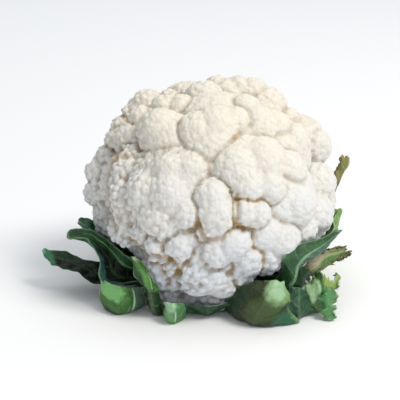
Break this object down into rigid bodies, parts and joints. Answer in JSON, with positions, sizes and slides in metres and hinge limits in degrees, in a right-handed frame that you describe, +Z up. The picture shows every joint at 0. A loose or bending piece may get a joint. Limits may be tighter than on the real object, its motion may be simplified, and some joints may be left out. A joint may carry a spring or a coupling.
{
  "type": "cauliflower",
  "caption": "Trimmed head of cauliflower: a broad creamy white curd of knobbly florets on a short cut stalk, with cut and waved green leaves standing round its foot.",
  "frame": {"origin": "middle of the flat cut face of the stalk, on which the head stands", "axes": "+Z up through the middle of the head, -Y towards the side that the picture shows, +X to the right of that side"},
  "size_m": [0.2189, 0.1857, 0.1431],
  "materials": {
    "curd": "matte",
    "stalk": "satin",
    "leaf_dark": "satin",
    "leaf_green": "satin",
    "leaf_light": "satin",
    "leaf_withered": "matte"
  },
  "bodies": {
    "root": {"curd": "curd", "stalk": "stalk", "leaf_left_long": "leaf_dark", "leaf_left_scoop": "leaf_green", "leaf_left_back": "leaf_green", "leaf_left_short": "leaf_light", "leaf_left_strap": "leaf_light", "leaf_front_stub": "leaf_light", "leaf_front_strip": "leaf_dark", "leaf_right_broad": "leaf_dark", "leaf_right_lance": "leaf_green", "leaf_right_under": "leaf_dark", "leaf_right_torn": "leaf_withered", "leaf_right_crinkled": "leaf_light", "leaf_right_dark": "leaf_dark", "leaf_right_tip": "leaf_light", "leaf_back_right": "leaf_withered", "leaf_back_1": "leaf_green", "leaf_back_2": "leaf_dark", "leaf_back_3": "leaf_green", "leaf_back_4": "leaf_dark", "leaf_back_5": "leaf_green"}
  },
  "joints": []
}
